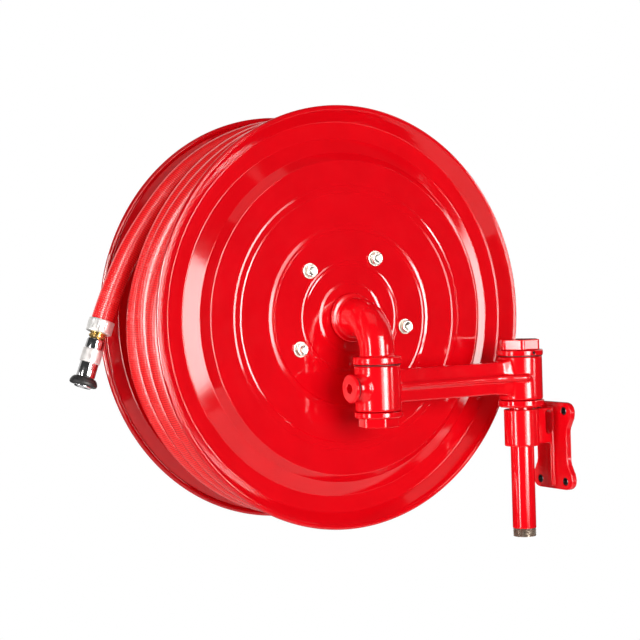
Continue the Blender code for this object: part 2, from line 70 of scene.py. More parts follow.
# Sizes read from the CAD bodies, in millimetres.
RIM_RADIUS = 4.0
DISC_LOW, DISC_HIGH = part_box("front_disc")
DISC_RADIUS = (DISC_HIGH.z - DISC_LOW.z) / 2 / MM
DISC_SPACING = (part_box("rear_disc")[1].y - DISC_LOW.y) / MM - 2 * RIM_RADIUS
RIM_TO_SWIVEL = (joint_place("drum_spin") - joint_place("reel_swing")).y / MM
ARM_REACH = (joint_place("arm_swing") - joint_place("reel_swing")).x / MM
PIPE_END = (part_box("inlet_pipe")[0].z - joint_place("arm_swing").z) / MM

# Heights along the vertical pivots, from the reel's axis.
BARREL_TOP = -64.6
BARREL_BOTTOM = -126.4
BARREL_RADIUS = 31.5
BARREL_BORE = 20.5
WATERWAY = -94.0
COLLAR_RADIUS = 33.0
SLEEVE_TOP = -140.6
SLEEVE_BOTTOM = -193.0
SLEEVE_RADIUS = 25.0
PIPE_RADIUS = 16.85

# The bolt holes of the wall plate, (across, up) from its middle.
PLATE_HOLES = [(-28, -51), (28, -51), (-28, 51), (28, 51)]

# The hose: 25 mm bore under a ribbed cover, and the layers it lies in from the core outwards,
# each as its centre radius and the depths of its strands behind the front rim, in winding order.
HOSE_DIAMETER = 31.0
RIB_PITCH = 0.003
HOSE_LAYERS = [
    (148.5, [22.5, 55.5, 88.5, 121.5, 154.5]),
    (179.4, [154.5, 121.5, 88.5, 55.5, 22.5]),
    (210.25, [22.5, 55.5, 88.5, 121.5, 154.5]),
    (241.1, [138.0, 105.0, 72.0, 39.0]),
    (272.0, [47.0, 80.0, 113.0]),
]
TAIL_RADIUS = 272.6
TAIL_DEPTH = 144.8
TAIL_LEAVES = 145.0
FREE_HOSE = [(-249, 123), (-267.5, 94), (-283, 63), (-296.5, 33.5), (-307.5, 6), (-310.0, -0.9)]


# ------------------------------------------------------------------- meshes


def mesh_of(name, points, faces, sharp=40):
    """A mesh with its faces turned outwards, shaded smooth except at sharp edges."""
    mesh = bpy.data.meshes.new(name)
    mesh.from_pydata(points, [], faces)
    build = bmesh.new()
    build.from_mesh(mesh)
    bmesh.ops.recalc_face_normals(build, faces=build.faces)
    build.to_mesh(mesh)
    build.free()
    mesh.shade_smooth()
    mesh.set_sharp_from_angle(angle=math.radians(sharp))
    return mesh


def value_at(value, angle):
    return value(angle) if callable(value) else value


def polar(name, rings, segments=96, closed=False):
    """A mesh of rings about Z. Each ring is (radius, height), and either can be a function of angle."""
    points = []
    loops = []
    for radius, height in rings:
        count = 1 if radius == 0 else segments
        loops.append(list(range(len(points), len(points) + count)))
        for k in range(count):
            angle = 2 * math.pi * k / segments
            r = value_at(radius, angle) * MM
            points.append((r * math.cos(angle), r * math.sin(angle), value_at(height, angle) * MM))
    pairs = list(zip(loops, loops[1:]))
    if closed:
        pairs.append((loops[-1], loops[0]))
    faces = []
    for near, far in pairs:
        for k in range(segments):
            after = (k + 1) % segments
            corners = [near[k % len(near)], far[k % len(far)], far[after % len(far)], near[after % len(near)]]
            corners = list(dict.fromkeys(corners))
            if len(corners) > 2:
                faces.append(corners)
    return mesh_of(name, points, faces)


def arc_at(before, corner, after, radius, steps):
    """The points of the arc that rounds one corner of an outline."""
    back = before - corner
    on = after - corner
    half = back.angle(on) / 2
    if half > math.radians(89.5):
        return [corner]
    reach = min(radius / math.tan(half), 0.48 * back.length, 0.48 * on.length)
    radius = reach * math.tan(half)
    centre = corner + (back.normalized() + on.normalized()).normalized() * radius / math.sin(half)
    start = corner + back.normalized() * reach - centre
    end = corner + on.normalized() * reach - centre
    first = math.atan2(start.y, start.x)
    turn = (math.atan2(end.y, end.x) - first + math.pi) % (2 * math.pi) - math.pi
    angles = [first + turn * k / steps for k in range(steps + 1)]
    return [centre + Vector((math.cos(a), math.sin(a))) * radius for a in angles]


def rounded(corners, closed=False, steps=4, support=0.35):
    """An outline from corners (x, y, rounding), with points close to both ends of each long straight."""
    spots = [Vector(corner[:2]) for corner in corners]
    points = []
    for i, corner in enumerate(corners):
        at_end = i in (0, len(corners) - 1) and not closed
        if len(corner) < 3 or at_end:
            points.append(spots[i])
        else:
            points += arc_at(spots[i - 1], spots[i], spots[(i + 1) % len(spots)], corner[2], steps)
    outline = []
    follow = points[1:] + (points[:1] if closed else [])
    for here, there in zip(points, follow):
        outline.append(here)
        if (there - here).length > 4 * support:
            step = (there - here).normalized() * support
            outline += [here + step, there - step]
    if not closed:
        outline.append(points[-1])
    return [(point.x, point.y) for point in outline]


def turned(name, corners, segments=96, closed=True):
    """A turned piece from the corners of its outline; an open outline starts and ends on the axis."""
    return polar(name, rounded(corners, closed), segments, closed)


def hexagon(across_corners, corner_angle=0.0, ease=0.7):
    """The radius of a hexagon by angle, with its upright edges eased."""
    flat = across_corners / 2 * math.cos(math.pi / 6)
    limit = across_corners / 2 - ease
    softness = 0.25

    def radius(angle):
        local = (angle - math.radians(corner_angle)) % (math.pi / 3) - math.pi / 6
        straight = flat / math.cos(local)
        return -softness * math.log(math.exp(-straight / softness) + math.exp(-limit / softness))

    return radius


def shrunk(radius, by):
    return lambda angle: radius(angle) - by


def hex_rings(radius, top, bottom, edge=0.8):
    """The rings of a hexagonal piece's outside, its top and bottom edges rounded."""
    quarter = [math.radians(30 * k) for k in range(4)]
    rings = [(shrunk(radius, edge + 0.4), top)]
    rings += [(shrunk(radius, edge * (1 - math.sin(a))), top - edge * (1 - math.cos(a))) for a in quarter]
    rings += [(radius, top - edge - 0.4), (radius, bottom + edge + 0.4)]
    rings += [(shrunk(radius, edge * (1 - math.cos(a))), bottom + edge * (1 - math.sin(a))) for a in quarter]
    return rings + [(shrunk(radius, edge + 0.4), bottom)]


def swept(name, points, radii, sides=24):
    """A round tube along the points, closed at both ends, with the distance along it as an attribute."""
    ahead = points[1:] + points[-1:]
    behind = points[:1] + points[:-1]
    tangents = [(b - a).normalized() for a, b in zip(behind, ahead)]
    side = tangents[0].orthogonal().normalized()
    corners = []
    along = []
    walked = 0.0
    for i, (point, tangent, radius) in enumerate(zip(points, tangents, radii)):
        if i:
            side.rotate(tangents[i - 1].rotation_difference(tangent))
            walked += (point - points[i - 1]).length
        side = (side - tangent * side.dot(tangent)).normalized()
        across = tangent.cross(side)
        for k in range(sides):
            angle = 2 * math.pi * k / sides
            corners.append(point + (side * math.cos(angle) + across * math.sin(angle)) * radius)
            along.append(walked)
    faces = []
    for ring in range(len(points) - 1):
        near = ring * sides
        for k in range(sides):
            after = (k + 1) % sides
            faces.append((near + k, near + after, near + sides + after, near + sides + k))
    faces.append(tuple(reversed(range(sides))))
    faces.append(tuple(range(len(corners) - sides, len(corners))))
    mesh = mesh_of(name, corners, faces, sharp=60)
    attribute = mesh.attributes.new("along", "FLOAT", "POINT")
    attribute.data.foreach_set("value", along)
    return mesh


def lofted(name, loops):
    """A solid through loops that all have the same number of points."""
    points = [Vector(point) * MM for loop in loops for point in loop]
    count = len(loops[0])
    faces = [tuple(range(count)), tuple(range(len(points) - count, len(points)))]
    for start in range(0, len(points) - count, count):
        for k in range(count):
            after = (k + 1) % count
            faces.append((start + k, start + after, start + count + after, start + count + k))
    return mesh_of(name, points, faces)


def box_solid(name, low, high):
    """A plain block that is only ever joined into a casting or cut from one."""
    (x0, y0, z0), (x1, y1, z1) = low, high
    base = [(x0, y0, z0), (x1, y0, z0), (x1, y1, z0), (x0, y1, z0)]
    top = [(x, y, z1) for x, y, _ in base]
    return lofted(name, [base, top])


def bar_solid(radius, top, bottom, segments=128):
    """A plain round bar that is only ever joined into a casting or cut from one."""
    return polar("bar", [(0, top), (radius, top), (radius, bottom), (0, bottom)], segments)


def loose(mesh, matrix=Matrix()):
    obj = bpy.data.objects.new(mesh.name, mesh)
    bpy.context.scene.collection.objects.link(obj)
    obj.matrix_world = matrix
    return obj


def joined(name, solids, cutters, voxel=None, smoothing=10):
    """One mesh from overlapping solids less its cutters, each as (mesh, matrix).

    With a voxel size in millimetres it becomes a casting: one skin with soft inside and outside corners.
    """
    base = loose(solids[0][0], solids[0][1])
    others = []
    for operation, pieces in (("UNION", solids[1:]), ("DIFFERENCE", cutters)):
        for mesh, matrix in pieces:
            other = loose(mesh, matrix)
            others.append(other)
            modifier = base.modifiers.new(operation, "BOOLEAN")
            modifier.operation = operation
            modifier.solver = "MANIFOLD"
            modifier.object = other
    if voxel:
        remesh = base.modifiers.new("Skin", "REMESH")
        remesh.mode = "VOXEL"
        remesh.voxel_size = voxel * MM
        remesh.use_smooth_shade = True
        smooth = base.modifiers.new("Soften", "SMOOTH")
        smooth.factor = 0.5
        smooth.iterations = smoothing
    bpy.context.view_layer.update()
    graph = bpy.context.evaluated_depsgraph_get()
    mesh = bpy.data.meshes.new_from_object(base.evaluated_get(graph))
    mesh.name = name
    mesh.transform(solids[0][1])
    mesh.materials.clear()
    for obj in [base] + others:
        bpy.data.objects.remove(obj)
    mesh.shade_smooth()
    if not voxel:
        mesh.set_sharp_from_angle(angle=math.radians(40))
    return mesh


def piece(name, mesh, matrix, body, material, replaces=None):
    """A finished mesh as a piece on its CAD body, standing for the CAD nodes it replaces."""
    obj = loose(mesh, matrix)
    obj.name = name
    if not mesh.materials:
        mesh.materials.append(material)
    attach(obj, body)
    for node in replaces or []:
        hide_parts(node)
    return obj


# ---------------------------------------------------------------- materials


def add_node(tree, kind, values=None, **settings):
    """A shader node with its settings, and its sockets set or linked by name or number."""
    made = tree.nodes.new("ShaderNode" + kind)
    for key, value in settings.items():
        setattr(made, key, value)
    for socket, value in (values or {}).items():
        if isinstance(value, bpy.types.NodeSocket):
            tree.links.new(value, made.inputs[socket])
        else:
            made.inputs[socket].default_value = value
    return made


def new_group(name, inputs, outputs):
    """A node group with named inputs (label, kind, value) and named outputs (label, kind)."""
    group = bpy.data.node_groups.new(name, "ShaderNodeTree")
    for label, kind, value in inputs:
        socket = group.interface.new_socket(label, in_out="INPUT", socket_type="NodeSocket" + kind)
        socket.default_value = value
    for label, kind in outputs:
        group.interface.new_socket(label, in_out="OUTPUT", socket_type="NodeSocket" + kind)
    return group, group.nodes.new("NodeGroupInput"), group.nodes.new("NodeGroupOutput")


def noise_at(tree, scale, detail=2.0, roughness=0.5, stretch=None):
    """A noise over the piece's own coordinates; stretch squeezes it along its axes."""
    place = add_node(tree, "TexCoord").outputs["Object"]
    if stretch:
        place = add_node(tree, "Mapping", {"Vector": place, "Scale": stretch}).outputs["Vector"]
    values = {"Vector": place, "Scale": scale, "Detail": detail, "Roughness": roughness}
    return add_node(tree, "TexNoise", values).outputs["Fac"]


def remap(tree, value, low, high, to_low, to_high, smooth=True):
    values = {"Value": value, "From Min": low, "From Max": high, "To Min": to_low, "To Max": to_high}
    kind = "SMOOTHSTEP" if smooth else "LINEAR"
    return add_node(tree, "MapRange", values, interpolation_type=kind).outputs["Result"]


def calc(tree, operation, first, second=0.0):
    return add_node(tree, "Math", {0: first, 1: second}, operation=operation).outputs[0]


def blend_colours(tree, factor, first, second, kind="MIX"):
    values = {"Factor": factor, "A": first, "B": second}
    made = tree.nodes.new("ShaderNodeMix")
    made.data_type = "RGBA"
    made.blend_type = kind
    sockets = {"Factor": made.inputs[0], "A": made.inputs[6], "B": made.inputs[7]}
    for label, value in values.items():
        if isinstance(value, bpy.types.NodeSocket):
            tree.links.new(value, sockets[label])
        else:
            sockets[label].default_value = value
    return made.outputs[2]


def sprayed_paint_group():
    """Stoved enamel: slow drifts of tone, a little uneven gloss, and orange peel."""
    group, given, result = new_group(
        "sprayed_paint",
        [("Colour", "Color", (1, 1, 1, 1)), ("Gloss", "Float", 0.1), ("Peel", "Float", 0.01)],
        [("Colour", "Color"), ("Roughness", "Float"), ("Height", "Float")],
    )
    drift = remap(group, noise_at(group, 14, 3), 0.3, 0.7, 0.0, 1.0)
    deeper = blend_colours(group, 1.0, given.outputs["Colour"], (0.93, 0.8, 0.85, 1), "MULTIPLY")
    tone = blend_colours(group, drift, given.outputs["Colour"], deeper)
    cloud = remap(group, noise_at(group, 60, 4), 0.3, 0.75, 0.85, 1.35)
    rough = calc(group, "MULTIPLY", given.outputs["Gloss"], cloud)
    peel = calc(group, "MULTIPLY", noise_at(group, 320, 1.5), given.outputs["Peel"])
    sag = calc(group, "MULTIPLY", noise_at(group, 24, 1.0), 0.02)
    group.links.new(tone, result.inputs["Colour"])
    group.links.new(rough, result.inputs["Roughness"])
    group.links.new(calc(group, "ADD", peel, sag), result.inputs["Height"])
    return group


def foundry_skin_group():
    """The skin of a sand casting that still shows through its paint."""
    group, given, result = new_group(
        "foundry_skin", [("Depth", "Float", 0.03)], [("Height", "Float"), ("Pits", "Float")]
    )
    lumps = noise_at(group, 110, 3)
    grain = noise_at(group, 700, 2)
    pits = remap(group, noise_at(group, 260, 2), 0.62, 0.8, 0.0, 1.0)
    height = calc(group, "ADD", lumps, calc(group, "MULTIPLY", grain, 0.25))
    height = calc(group, "SUBTRACT", height, calc(group, "MULTIPLY", pits, 0.5))
    group.links.new(calc(group, "MULTIPLY", height, given.outputs["Depth"]), result.inputs["Height"])
    group.links.new(pits, result.inputs["Pits"])
    return group


def hose_cover_group():
    """Fine rings round the hose, and a mask of the grooves between them for painted shade."""
    group, given, result = new_group(
        "hose_cover_ribs",
        [("Along", "Float", 0.0), ("Pitch", "Float", RIB_PITCH)],
        [("Height", "Float"), ("Groove Shade", "Float"), ("Scuff", "Float")],
    )
    turns = calc(group, "DIVIDE", given.outputs["Along"], given.outputs["Pitch"])
    wave = calc(group, "COSINE", calc(group, "MULTIPLY", turns, 2 * math.pi))
    crown = remap(group, wave, -1.0, 1.0, 0.0, 1.0)
    weave = noise_at(group, 900, 2)
    height = calc(group, "ADD", crown, calc(group, "MULTIPLY", weave, 0.15))
    scuff = remap(group, noise_at(group, 22, 5, 0.65), 0.52, 0.75, 0.0, 1.0)
    group.links.new(height, result.inputs["Height"])
    # The groove mask marks where the hose is darkened as painted shade.
    group.links.new(calc(group, "SUBTRACT", 1.0, crown), result.inputs["Groove Shade"])
    group.links.new(scuff, result.inputs["Scuff"])
    return group


def metal_skin_group():
    """Bare or plated metal: cloudy colour, uneven polish, and the marks of the lathe round its axis."""
    group, given, result = new_group(
        "metal_skin",
        [
            ("Bright", "Color", (1, 1, 1, 1)),
            ("Dull", "Color", (0.6, 0.6, 0.6, 1)),
            ("Roughness", "Float", 0.25),
            ("Lathe Marks", "Float", 0.3),
        ],
        [("Colour", "Color"), ("Roughness", "Float"), ("Height", "Float")],
    )
    cloud = remap(group, noise_at(group, 140, 4, 0.6), 0.35, 0.7, 0.0, 1.0)
    tone = blend_colours(group, cloud, given.outputs["Bright"], given.outputs["Dull"])
    rings = noise_at(group, 1.0, 2, 0.7, (40, 40, 2600))
    spread = remap(group, cloud, 0.0, 1.0, 0.8, 1.5)
    rough = calc(group, "MULTIPLY", given.outputs["Roughness"], spread)
    group.links.new(tone, result.inputs["Colour"])
    group.links.new(rough, result.inputs["Roughness"])
    group.links.new(calc(group, "MULTIPLY", rings, given.outputs["Lathe Marks"]), result.inputs["Height"])
    return group


def moulded_skin_group():
    """Rubber or plastic from a mould: fine grain and a dry bloom."""
    group, given, result = new_group(
        "moulded_skin",
        [("Colour", "Color", (0.02, 0.02, 0.02, 1)), ("Bloom", "Color", (0.08, 0.08, 0.08, 1))],
        [("Colour", "Color"), ("Height", "Float")],
    )
    bloom = remap(group, noise_at(group, 90, 5, 0.65), 0.4, 0.8, 0.0, 0.6)
    tone = blend_colours(group, bloom, given.outputs["Colour"], given.outputs["Bloom"])
    group.links.new(tone, result.inputs["Colour"])
    group.links.new(noise_at(group, 1400, 2), result.inputs["Height"])
    return group


GROUPS = {
    "paint": sprayed_paint_group(),
    "foundry": foundry_skin_group(),
    "hose": hose_cover_group(),
    "metal": metal_skin_group(),
    "moulded": moulded_skin_group(),
}


def new_finish(name, slot, **constants):
    """A material with its Principled shader's constants set; the slot it is given is not used."""
    material = bpy.data.materials.new(name)
    material.use_nodes = True
    shader = material.node_tree.nodes["Principled BSDF"]
    for socket, value in constants.items():
        shader.inputs[socket.replace("_", " ")].default_value = value
    return material, material.node_tree, shader


def use_group(tree, key, **values):
    made = add_node(tree, "Group", node_tree=GROUPS[key])
    for label, value in values.items():
        socket = made.inputs[label.replace("_", " ")]
        if isinstance(value, bpy.types.NodeSocket):
            tree.links.new(value, socket)
        else:
            socket.default_value = value
    return made.outputs


def raise_surface(tree, shader, height, distance):
    """Feeds a height in millimetres to the shader as a bump."""
    bump = add_node(tree, "Bump", {"Height": height, "Distance": distance * MM})
    tree.links.new(bump.outputs["Normal"], shader.inputs["Normal"])


RED = (0.80, 0.0016, 0.0075, 1)


def sheet_enamel():
    """Gloss enamel on the pressed discs and the smooth turned pieces."""
    material, tree, shader = new_finish("red_sheet_enamel", "red_enamel", IOR=1.5)
    skin = use_group(tree, "paint", Colour=RED, Gloss=0.075, Peel=0.012)
    tree.links.new(skin["Colour"], shader.inputs["Base Color"])
    tree.links.new(skin["Roughness"], shader.inputs["Roughness"])
    raise_surface(tree, shader, skin["Height"], 1.0)
    return material


def cast_enamel():
    """The same enamel over castings, where the foundry skin shows through."""
    material, tree, shader = new_finish("red_cast_enamel", "red_enamel", IOR=1.5)
    skin = use_group(tree, "paint", Colour=RED, Gloss=0.12, Peel=0.012)
    foundry = use_group(tree, "foundry", Depth=0.05)
    thin = blend_colours(tree, foundry["Pits"], skin["Colour"], (0.62, 0.001, 0.006, 1))
    tree.links.new(thin, shader.inputs["Base Color"])
    tree.links.new(skin["Roughness"], shader.inputs["Roughness"])
    raise_surface(tree, shader, calc(tree, "ADD", skin["Height"], foundry["Height"]), 1.0)
    return material


def hose_cover():
    """Red ribbed cover of the hose, semi-gloss, darker in the grooves as painted shade, and dull where it has
    rubbed.
    """
    material, tree, shader = new_finish("red_hose_cover", "hose_cover", IOR=1.5)
    along = add_node(tree, "Attribute", attribute_name="along").outputs["Fac"]
    ribs = use_group(tree, "hose", Along=along)
    # The darker red in the grooves is painted shade; the lighter pink where rubbed is wear.
    tone = blend_colours(tree, ribs["Groove Shade"], (0.82, 0.012, 0.014, 1), (0.60, 0.007, 0.010, 1))
    tone = blend_colours(tree, calc(tree, "MULTIPLY", ribs["Scuff"], 0.25), tone, (0.84, 0.06, 0.06, 1))
    tree.links.new(tone, shader.inputs["Base Color"])
    rough = remap(tree, ribs["Scuff"], 0.0, 1.0, 0.24, 0.34)
    tree.links.new(rough, shader.inputs["Roughness"])
    raise_surface(tree, shader, ribs["Height"], 0.16)
    return material


def metal(name, slot, bright, dull, roughness, marks, metallic=1.0):
    """A bare or plated metal."""
    material, tree, shader = new_finish(name, slot, Metallic=metallic)
    skin = use_group(tree, "metal", Bright=bright, Dull=dull, Roughness=roughness, Lathe_Marks=marks)
    tree.links.new(skin["Colour"], shader.inputs["Base Color"])
    tree.links.new(skin["Roughness"], shader.inputs["Roughness"])
    raise_surface(tree, shader, skin["Height"], 0.01)
    return material


def bare_thread():
    """Unpainted pipe thread: dark mill steel with brown rust in its roots."""
    material, tree, shader = new_finish("rusty_pipe_thread", "plain_steel", IOR=1.5)
    rust = remap(tree, noise_at(tree, 260, 6, 0.7), 0.42, 0.62, 0.0, 1.0)
    steel = use_group(tree, "metal", Bright=(0.42, 0.37, 0.31, 1), Dull=(0.20, 0.16, 0.12, 1), Roughness=0.4)
    tone = blend_colours(tree, rust, steel["Colour"], (0.10, 0.052, 0.03, 1))
    tree.links.new(tone, shader.inputs["Base Color"])
    tree.links.new(remap(tree, rust, 0.0, 1.0, 1.0, 0.1), shader.inputs["Metallic"])
    tree.links.new(remap(tree, rust, 0.0, 1.0, 0.35, 0.8), shader.inputs["Roughness"])
    raise_surface(tree, shader, rust, 0.05)
    return material


def moulded(name, slot, colour, bloom, roughness):
    """Rubber or plastic."""
    material, tree, shader = new_finish(name, slot, Roughness=roughness)
    skin = use_group(tree, "moulded", Colour=colour, Bloom=bloom)
    tree.links.new(skin["Colour"], shader.inputs["Base Color"])
    raise_surface(tree, shader, skin["Height"], 0.02)
    return material


SHEET_ENAMEL = sheet_enamel()
CAST_ENAMEL = cast_enamel()
HOSE_COVER = hose_cover()
ZINC = metal("zinc_plating", "zinc_plate", (0.80, 0.78, 0.73, 1), (0.52, 0.48, 0.40, 1), 0.27, 0.4)
CHROME = metal("chrome_plating", "chrome_plate", (0.86, 0.87, 0.90, 1), (0.80, 0.81, 0.83, 1), 0.12, 0.1)
ALUMINIUM = metal("turned_aluminium", "aluminium", (0.94, 0.94, 0.93, 1), (0.88, 0.88, 0.87, 1),
                  0.35, 0.5, metallic=0.6)
SATIN_CHROME = metal("satin_chrome", "chrome_plate", (0.90, 0.88, 0.87, 1), (0.84, 0.82, 0.81, 1),
                     0.40, 0.1, metallic=0.6)
BRASS = metal("turned_brass", "brass", (0.85, 0.62, 0.25, 1), (0.62, 0.40, 0.13, 1), 0.2, 0.8)
BRONZE = metal("bush_bronze", "bronze", (0.60, 0.38, 0.18, 1), (0.42, 0.25, 0.11, 1), 0.35, 0.6)
STEEL = metal("bright_steel", "plain_steel", (0.56, 0.56, 0.57, 1), (0.36, 0.35, 0.34, 1), 0.32, 0.8)
DARK_STEEL = metal("blackened_steel", "plain_steel", (0.05, 0.045, 0.045, 1), (0.02, 0.02, 0.02, 1), 0.4, 0.3)
BARE_THREAD = bare_thread()
RUBBER = moulded("black_moulded_rubber", "black_rubber", (0.014, 0.014, 0.015, 1), (0.05, 0.05, 0.05, 1), 0.5)
NYLON = moulded("natural_nylon", "nylon", (0.25, 0.012, 0.012, 1), (0.16, 0.01, 0.01, 1), 0.45)


# ------------------------------------------------------- camera, lights, stage


VIEW_AZIMUTH = math.radians(31.4)
VIEW_ELEVATION = math.radians(1.5)
VIEW_ROLL = math.radians(-1.8)
VIEW_DISTANCE = 7.726 * DISC_RADIUS * MM
VIEW_CENTRE = joint_place("drum_spin")


def add_camera():
    """The camera looks past the left of the reel, slightly down, with a small roll."""
    forward = Vector((
        math.sin(VIEW_AZIMUTH) * math.cos(VIEW_ELEVATION),
        math.cos(VIEW_AZIMUTH) * math.cos(VIEW_ELEVATION),
        -math.sin(VIEW_ELEVATION),
    ))
    level = Vector((math.cos(VIEW_AZIMUTH), -math.sin(VIEW_AZIMUTH), 0))
    upright = level.cross(forward)
    right = level * math.cos(VIEW_ROLL) + upright * math.sin(VIEW_ROLL)
    up = upright * math.cos(VIEW_ROLL) - level * math.sin(VIEW_ROLL)
    place = VIEW_CENTRE - (forward + right * 0.0172 + up * 0.0015) * VIEW_DISTANCE
    data = bpy.data.cameras.new("product_camera")
    data.sensor_width = 36.0
    data.lens = 92.15
    camera = bpy.data.objects.new("product_camera", data)
    bpy.context.scene.collection.objects.link(camera)
    axes = Matrix((right, up, -forward)).transposed().to_4x4()
    camera.matrix_world = Matrix.Translation(place) @ axes
    bpy.context.scene.camera = camera


def softbox(name, azimuth, elevation, width, height, brightness, lit=None, shadowed_by=None,
            diffuse=True, glossy=True):
    """A soft rectangular light, on every piece or on a collection, and shadowed by all or by a collection.

    All its angles are in degrees; azimuth runs from straight in front towards the wall.
    """
    distance = 6.0
    across = math.radians(azimuth)
    raised = math.radians(elevation)
    facing = Vector((
        math.sin(across) * math.cos(raised),
        -math.cos(across) * math.cos(raised),
        math.sin(raised),
    ))
    data = bpy.data.lights.new(name, "AREA")
    data.shape = "RECTANGLE"
    data.size = 2 * distance * math.tan(math.radians(width) / 2)
    data.size_y = 2 * distance * math.tan(math.radians(height) / 2)
    data.energy = brightness * math.pi * data.size * data.size_y
    data.color = (1.0, 0.97, 0.94)
    light = bpy.data.objects.new(name, data)
    bpy.context.scene.collection.objects.link(light)
    light.location = VIEW_CENTRE + facing * distance
    light.rotation_euler = facing.to_track_quat("Z", "Y").to_euler()
    light.visible_camera = False
    light.visible_diffuse = diffuse
    light.visible_glossy = glossy
    if lit:
        light.light_linking.receiver_collection = lit
    if shadowed_by:
        light.light_linking.blocker_collection = shadowed_by


def light_group(name, pieces, state="INCLUDE"):
    """A collection for light linking: only these pieces, or all but these."""
    group = bpy.data.collections.new(name)
    for obj in pieces:
        group.objects.link(obj)
    for member in group.collection_objects:
        member.light_linking.link_state = state
    return group


def add_lights(discs, hose, bracket):
    """Broad front light, narrow strips on both sides, and reflectors for the discs or the hose alone."""
    pressings = light_group("discs_only", discs)
    hose_only = light_group("hose_only", [hose])
    not_discs = light_group("all_but_discs", discs, "EXCLUDE")
    not_bracket = light_group("all_but_bracket", [bracket], "EXCLUDE")
    softbox("front_softbox", 4, 6, 34, 34, 7.2)
    softbox("front_sheen", 7, 6, 18, 30, 20.0, not_discs, diffuse=False)
    softbox("top_softbox", -30, 68, 40, 30, 0.5)
    softbox("rear_fill", 170, 20, 50, 40, 1.2)
    softbox("rear_left_soft", -150, 8, 30, 36, 0.5)
    softbox("left_strip", -77, 1, 9, 26, 22.0, not_discs)
    softbox("left_fill", -85, 5, 40, 50, 1.6, glossy=False)
    softbox("hose_fill", -43, 0, 30, 50, 2.2, hose_only, glossy=False)
    softbox("left_strip_on_discs", -82, 3, 22, 50, 38.0, pressings, diffuse=False)
    softbox("rear_left_strip", -107, 1, 6, 24, 10.0, diffuse=False)
    softbox("right_window", 42, -1, 9, 7, 14.0, not_discs, diffuse=False)
    softbox("front_sheen_on_discs", 6, 4, 16, 30, 11.0, pressings, diffuse=False)
    softbox("right_window_on_discs", 53, -1, 9, 30, 24.0, pressings, diffuse=False)
    softbox("wall_side_soft", 112, 28, 50, 40, 1.2, not_bracket)
    softbox("wall_side_strip", 98, 4, 13, 46, 5.0, pressings, not_discs, diffuse=False)
    softbox("left_reflector", -37, -1, 16, 66, 15.0, pressings, diffuse=False)
    softbox("hose_reflector", -47, 0, 16, 60, 28.0, hose_only, diffuse=False)
    softbox("low_right_reflector", 77, -45, 14, 12, 5.0, pressings, not_discs, diffuse=False)


def add_surroundings():
    """White to look at, dim to light the reel, and almost dark in its gloss."""
    world = bpy.data.worlds.new("studio")
    bpy.context.scene.world = world
    world.use_nodes = True
    tree = world.node_tree
    background = tree.nodes["Background"]
    path = add_node(tree, "LightPath")
    dim = remap(tree, path.outputs["Is Diffuse Ray"], 0.0, 1.0, 0.04, 0.14, smooth=False)
    seen = add_node(tree, "Mix", {0: path.outputs["Is Camera Ray"], 2: dim, 3: 1.0}, data_type="FLOAT")
    tree.links.new(seen.outputs[0], background.inputs["Strength"])
    background.inputs["Color"].default_value = (1, 1, 1, 1)


def add_floor():
    """A pale round floor well below the reel, with a rolled edge."""
    drop = 1.15
    outline = [(0, 0), (2080, 0), (2100, -4, 4), (2100, -30), (0, -30)]
    mesh = polar("studio_floor", rounded(outline), 128)
    floor = loose(mesh, Matrix.Translation((VIEW_CENTRE.x, VIEW_CENTRE.y, -drop)))
    floor.name = "studio_floor"
    material = bpy.data.materials.new("studio_floor")
    material.use_nodes = True
    tree = material.node_tree
    shader = tree.nodes["Principled BSDF"]
    tone = remap(tree, noise_at(tree, 3, 3), 0.3, 0.7, 0.88, 0.92)
    tree.links.new(tone, shader.inputs["Base Color"])
    shader.inputs["Roughness"].default_value = 0.9
    mesh.materials.append(material)


# ----------------------------------------------------------------- the hose


def eased(t):
    t = min(max(t, 0.0), 1.0)
    return t * t * (3 - 2 * t)


def strand_at(strands, degrees):
    """Radius and depth of the winding at an angle counted from the outlet, through all its turns."""
    turn = min(int(degrees // 360), len(strands) - 1)
    moves = []
    for number in (turn, turn + 1):
        if 0 < number < len(strands):
            (r0, d0), (r1, d1) = strands[number - 1], strands[number]
            span = max(56.0, math.degrees(225.0 / r0))
            begin, end = 180 - span, 180
            if number == len(strands) - 1:
                begin, end = -20, 50
            elif number == len(strands) - 2:
                begin, end = 138, 200
            elif abs(r1 - r0) > 5:
                begin, end = 190 - 1.45 * span, 190
            part = eased((degrees - 360 * number - begin) / (end - begin))
            moves.append((part, r0, d0, r1, d1))
    part, r0, d0, r1, d1 = moves[0] if moves[0][0] < 1 or len(moves) == 1 else moves[1]
    return r0 + (r1 - r0) * part, d0 + (d1 - d0) * part


def wound_hose():
    """The winding's centre line from the outlet to where the tail leaves it, in the drum's frame."""
    strands = [(radius, depth) for radius, depths in HOSE_LAYERS for depth in depths]
    strands.append((TAIL_RADIUS, TAIL_DEPTH))
    straight = [(148.4, y) for y in (33, 36)]
    points = [Vector((x, y, -22.5)) for x, y in straight]
    start_angle = math.degrees(math.atan2(36, 148.4))
    start_radius = math.hypot(148.4, 36)
    settle = 125.0
    slope = start_radius * math.tan(math.radians(start_angle)) * math.radians(settle)
    last = 360 * (len(strands) - 1) + TAIL_LEAVES
    degrees = start_angle
    while degrees < last:
        radius, depth = strand_at(strands, degrees)
        t = (degrees - start_angle) / settle
        if t < 1:
            lift = (2 * t**3 - 3 * t**2 + 1) * (start_radius - radius) + (t**3 - 2 * t**2 + t) * slope
            radius += lift
        wander = noise.noise(Vector((degrees / 47.0, 3.1, 0.0)))
        sway = noise.noise(Vector((degrees / 61.0, 9.7, 0.0)))
        calm = 1 - eased((degrees - last + 120) / 100)
        radius += 0.5 * wander * calm
        depth += 0.9 * sway * calm
        angle = math.radians(degrees)
        points.append(Vector((radius * math.cos(angle), radius * math.sin(angle), -depth)))
        degrees += math.degrees(12.0 / radius)
    return points


